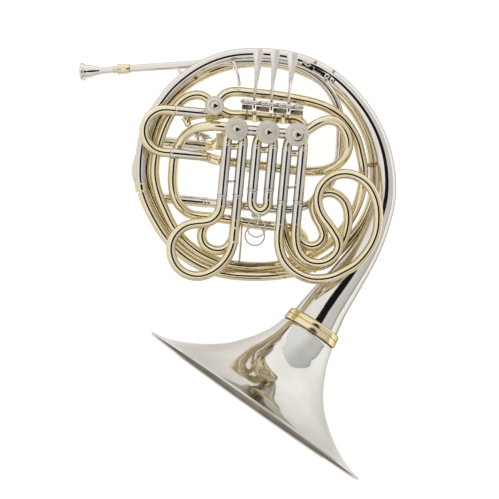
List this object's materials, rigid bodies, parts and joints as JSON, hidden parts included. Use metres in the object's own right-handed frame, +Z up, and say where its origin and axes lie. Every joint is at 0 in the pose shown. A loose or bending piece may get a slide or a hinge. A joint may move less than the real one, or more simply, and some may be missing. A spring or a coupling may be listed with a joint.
{
  "type": "french horn",
  "caption": "Double french horn with rotary valves, tuning and valve slides, finger and thumb levers, a mouthpiece and a bell that screws off.",
  "frame": {"origin": "middle of the footprint, on the ground that the horn lies on with its rotor caps up", "axes": "+Y from the bell's mouth to the top of the body, +X away from the mouthpiece, +Z up, out of the rotor caps' side"},
  "size_m": [0.3922, 0.5254, 0.2959],
  "materials": {
    "nickel_silver": "polished nickel silver, lacquered",
    "yellow_brass": "polished pale brass, lacquered",
    "rotor_cap_metal": "fine satin",
    "rotor_steel": "plain"
  },
  "bodies": {
    "horn_body": {"bell_tail": "nickel_silver", "tail_ferrule": "yellow_brass", "tail_screw_ring": "yellow_brass", "leadpipe": "nickel_silver", "mouthpiece_receiver": "yellow_brass", "b_branch_upper": "yellow_brass", "b_branch_circle": "yellow_brass", "b_branch_outer": "yellow_brass", "f_branch_loop": "yellow_brass", "return_tube": "yellow_brass", "valve_crossover": "yellow_brass", "change_valve_link_tube": "yellow_brass", "f_tuning_return": "yellow_brass", "f_tuning_upper_sleeve": "nickel_silver", "main_slide_upper_sleeve": "nickel_silver", "main_slide_lower_sleeve": "nickel_silver", "f_slide_1_sleeves": "nickel_silver", "f_slide_2_sleeves": "nickel_silver", "f_slide_3_sleeves": "nickel_silver", "b_slide_1_sleeves": "nickel_silver", "b_slide_2_sleeves": "nickel_silver", "b_slide_3_sleeves": "nickel_silver", "valve_knuckle_1_2": "yellow_brass", "valve_knuckle_2_3": "yellow_brass", "rotor_casing_1": "yellow_brass", "rotor_casing_2": "yellow_brass", "rotor_casing_3": "yellow_brass", "rotor_casing_4": "yellow_brass", "rotor_cap_1": "rotor_cap_metal", "rotor_cap_2": "rotor_cap_metal", "rotor_cap_3": "rotor_cap_metal", "rotor_cap_4": "rotor_cap_metal", "lever_hinge_rod": "nickel_silver", "lever_bracket": "nickel_silver", "finger_hook": "nickel_silver", "thumb_lever_pin": "nickel_silver"},
    "bell": {"bell_flare": "nickel_silver", "bell_screw_ring": "yellow_brass"},
    "mouthpiece": {"mouthpiece": "nickel_silver"},
    "main_slide": {"main_tuning_slide": "yellow_brass"},
    "f_tuning": {"f_tuning_slide": "yellow_brass"},
    "f_slide_1": {"f_slide_1_crook": "yellow_brass"},
    "f_slide_2": {"f_slide_2_crook": "yellow_brass", "f_slide_2_pull_ring": "nickel_silver"},
    "f_slide_3": {"f_slide_3_crook": "yellow_brass"},
    "b_slide_1": {"b_slide_1_crook": "yellow_brass"},
    "b_slide_2": {"b_slide_2_crook": "yellow_brass", "b_slide_2_pull_ring": "nickel_silver"},
    "b_slide_3": {"b_slide_3_crook": "yellow_brass"},
    "lever_1": {"finger_lever_1": "nickel_silver"},
    "link_1": {"lever_link_1": "rotor_steel"},
    "rotor_1": {"rotor_1": "rotor_steel"},
    "lever_2": {"finger_lever_2": "nickel_silver"},
    "link_2": {"lever_link_2": "rotor_steel"},
    "rotor_2": {"rotor_2": "rotor_steel"},
    "lever_3": {"finger_lever_3": "nickel_silver"},
    "link_3": {"lever_link_3": "rotor_steel"},
    "rotor_3": {"rotor_3": "rotor_steel"},
    "thumb_lever": {"thumb_lever": "nickel_silver"},
    "rotor_4": {"rotor_4": "rotor_steel"}
  },
  "joints": [
    {"name": "bell_draws_off", "type": "slide", "parent": "horn_body", "child": "bell", "axis": [-0.5187, -0.777, 0.3567], "range_m": [0, 0.05]},
    {"name": "mouthpiece_pulls_out", "type": "slide", "parent": "horn_body", "child": "mouthpiece", "axis": [-0.9888, -0.1131, -0.0974], "range_m": [0, 0.025]},
    {"name": "main_slide_pull", "type": "slide", "parent": "horn_body", "child": "main_slide", "axis": [-0.9943, 0.0911, 0.0552], "range_m": [0, 0.03]},
    {"name": "f_tuning_pull", "type": "slide", "parent": "horn_body", "child": "f_tuning", "axis": [-0.9943, 0.0911, 0.0552], "range_m": [0, 0.02]},
    {"name": "f_slide_1_pull", "type": "slide", "parent": "horn_body", "child": "f_slide_1", "axis": [-0.0716, -0.9579, 0.2781], "range_m": [0, 0.025]},
    {"name": "f_slide_2_pull", "type": "slide", "parent": "horn_body", "child": "f_slide_2", "axis": [-0.0716, -0.9579, 0.2781], "range_m": [0, 0.02]},
    {"name": "f_slide_3_pull", "type": "slide", "parent": "horn_body", "child": "f_slide_3", "axis": [-0.0716, -0.9579, 0.2781], "range_m": [0, 0.02]},
    {"name": "b_slide_1_pull", "type": "slide", "parent": "horn_body", "child": "b_slide_1", "axis": [-0.0716, -0.9579, 0.2781], "range_m": [0, 0.022]},
    {"name": "b_slide_2_pull", "type": "slide", "parent": "horn_body", "child": "b_slide_2", "axis": [-0.0716, -0.9579, 0.2781], "range_m": [0, 0.02]},
    {"name": "b_slide_3_pull", "type": "slide", "parent": "horn_body", "child": "b_slide_3", "axis": [-0.0716, -0.9579, 0.2781], "range_m": [0, 0.016]},
    {"name": "lever_1_press", "type": "hinge", "parent": "horn_body", "child": "lever_1", "pos_m": [0.02362, 0.20035, 0.07444], "axis": [-0.9933, 0.1033, 0.0516], "range_deg": [0, 12], "stiffness_Nm_per_rad": 0.5, "springref_deg": -8.59},
    {"name": "rotor_1_turn", "type": "hinge", "parent": "horn_body", "child": "rotor_1", "pos_m": [0.00071, 0.1609, 0.05624], "axis": [0.0782, 0.2726, 0.959], "range_deg": [0, 90]},
    {"name": "link_1_lift", "type": "slide", "parent": "horn_body", "child": "link_1", "axis": [0.0782, 0.2726, 0.959], "range_m": [0, 0.00118]},
    {"name": "lever_2_press", "type": "hinge", "parent": "horn_body", "child": "lever_2", "pos_m": [0.04458, 0.19817, 0.07335], "axis": [-0.9933, 0.1033, 0.0516], "range_deg": [0, 12], "stiffness_Nm_per_rad": 0.5, "springref_deg": -8.59},
    {"name": "rotor_2_turn", "type": "hinge", "parent": "horn_body", "child": "rotor_2", "pos_m": [0.0391, 0.15738, 0.05411], "axis": [0.0782, 0.2726, 0.959], "range_deg": [0, 90]},
    {"name": "link_2_lift", "type": "slide", "parent": "horn_body", "child": "link_2", "axis": [0.0782, 0.2726, 0.959], "range_m": [0, 0.00118]},
    {"name": "lever_3_press", "type": "hinge", "parent": "horn_body", "child": "lever_3", "pos_m": [0.06555, 0.19599, 0.07226], "axis": [-0.9933, 0.1033, 0.0516], "range_deg": [0, 12], "stiffness_Nm_per_rad": 0.5, "springref_deg": -8.59},
    {"name": "rotor_3_turn", "type": "hinge", "parent": "horn_body", "child": "rotor_3", "pos_m": [0.07443, 0.15444, 0.05206], "axis": [0.0782, 0.2726, 0.959], "range_deg": [0, 90]},
    {"name": "link_3_lift", "type": "slide", "parent": "horn_body", "child": "link_3", "axis": [0.0782, 0.2726, 0.959], "range_m": [0, 0.00118]},
    {"name": "thumb_lever_press", "type": "hinge", "parent": "horn_body", "child": "thumb_lever", "pos_m": [-0.04224, 0.14409, 0.02489], "axis": [-0.9448, 0.3273, -0.016], "range_deg": [0, 12], "stiffness_Nm_per_rad": 0.5, "springref_deg": -8.59},
    {"name": "rotor_4_turn", "type": "hinge", "parent": "horn_body", "child": "rotor_4", "pos_m": [-0.02667, 0.18849, 0.05063], "axis": [0.0782, 0.2726, 0.959], "range_deg": [0, 90]}
  ],
  "couplings": [
    {"joint": "rotor_1_turn", "follows": "lever_1_press", "ratio": 7.5},
    {"joint": "link_1_lift", "follows": "lever_1_press", "m_per_rad": 0.0056},
    {"joint": "rotor_2_turn", "follows": "lever_2_press", "ratio": 7.5},
    {"joint": "link_2_lift", "follows": "lever_2_press", "m_per_rad": 0.0056},
    {"joint": "rotor_3_turn", "follows": "lever_3_press", "ratio": 7.5},
    {"joint": "link_3_lift", "follows": "lever_3_press", "m_per_rad": 0.0056},
    {"joint": "rotor_4_turn", "follows": "thumb_lever_press", "ratio": 7.5}
  ]
}
